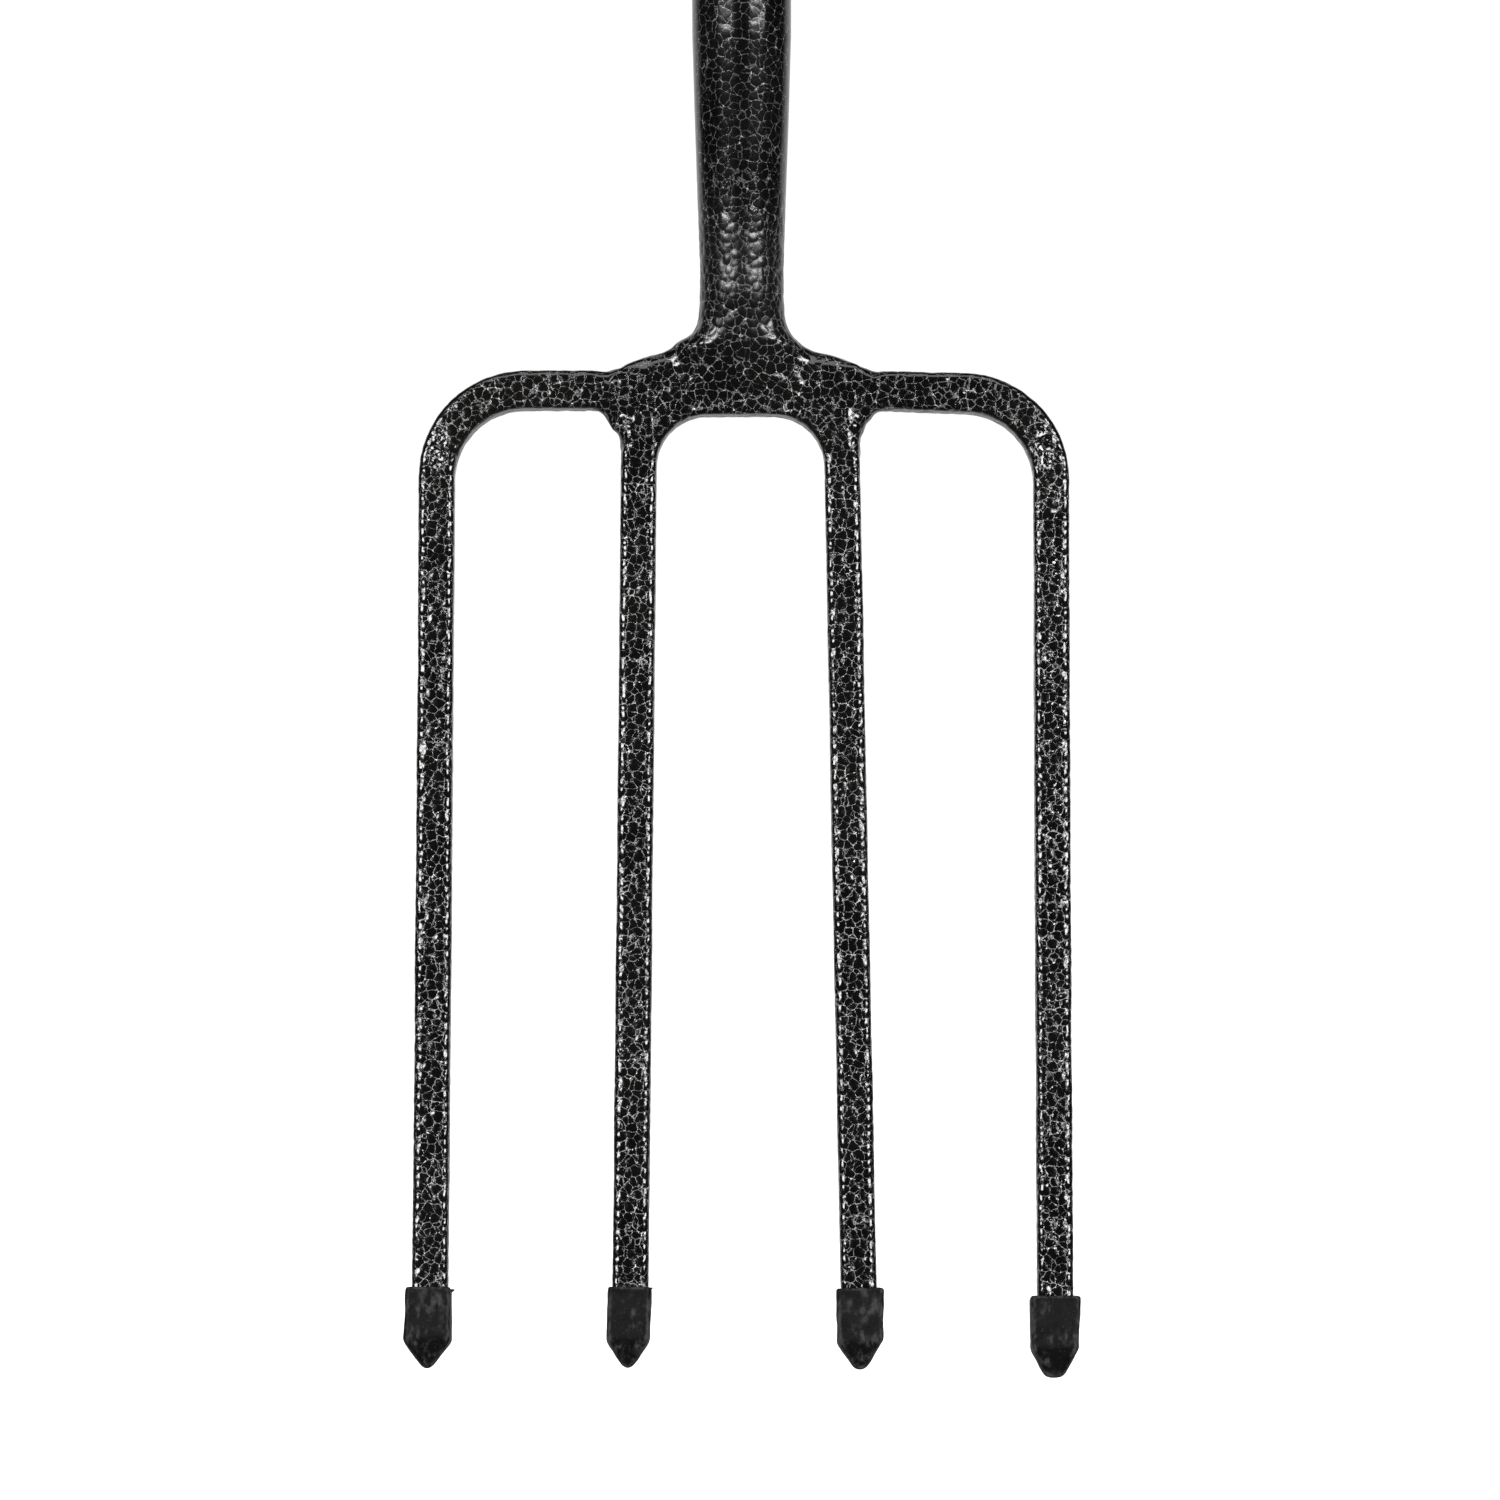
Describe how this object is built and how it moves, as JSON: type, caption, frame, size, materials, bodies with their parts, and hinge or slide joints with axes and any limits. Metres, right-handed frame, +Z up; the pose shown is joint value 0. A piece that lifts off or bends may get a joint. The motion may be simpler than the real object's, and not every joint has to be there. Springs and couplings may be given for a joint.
{
  "type": "hay fork",
  "caption": "Fork for hay and straw: a row of steel tines in black hammer finish, each with a black pull-off tip guard, on a straight wooden shaft riveted into a tapered socket.",
  "frame": {"origin": "under the middle of the whole fork, level with the lowest tip guard, with the fork upright and its tines down", "axes": "+Z runs up the shaft; -Y is the fork's front, the side that the tines curve towards; +X is to the right as seen from the front"},
  "size_m": [0.1921, 0.0586, 1.3871],
  "materials": {
    "head_steel": "black hammer finish with fine silver veins",
    "ash": "sanded ash with a thin clear varnish",
    "guard_rubber": "matt moulded black",
    "rivet_steel": "bare steel, set by hammer"
  },
  "bodies": {
    "fork": {"yoke": "head_steel", "outer_left_tine": "head_steel", "outer_right_tine": "head_steel", "socket": "head_steel", "socket_weld": "head_steel", "left_arm_weld": "head_steel", "right_arm_weld": "head_steel", "shaft": "ash", "rivet": "rivet_steel"},
    "outer_left_cap": {"outer_left_guard": "guard_rubber"},
    "inner_left_cap": {"inner_left_guard": "guard_rubber"},
    "inner_right_cap": {"inner_right_guard": "guard_rubber"},
    "outer_right_cap": {"outer_right_guard": "guard_rubber"}
  },
  "joints": [
    {"name": "outer_left_pull_off", "type": "slide", "parent": "fork", "child": "outer_left_cap", "axis": [-0.0026, -0.165, -0.9863], "range_m": [0, 0.03]},
    {"name": "inner_left_pull_off", "type": "slide", "parent": "fork", "child": "inner_left_cap", "axis": [-0.008, -0.165, -0.9863], "range_m": [0, 0.03]},
    {"name": "inner_right_pull_off", "type": "slide", "parent": "fork", "child": "inner_right_cap", "axis": [0.0181, -0.165, -0.9861], "range_m": [-0.0002, 0.03]},
    {"name": "outer_right_pull_off", "type": "slide", "parent": "fork", "child": "outer_right_cap", "axis": [-0.0003, -0.165, -0.9863], "range_m": [-0.0024, 0.03]}
  ]
}
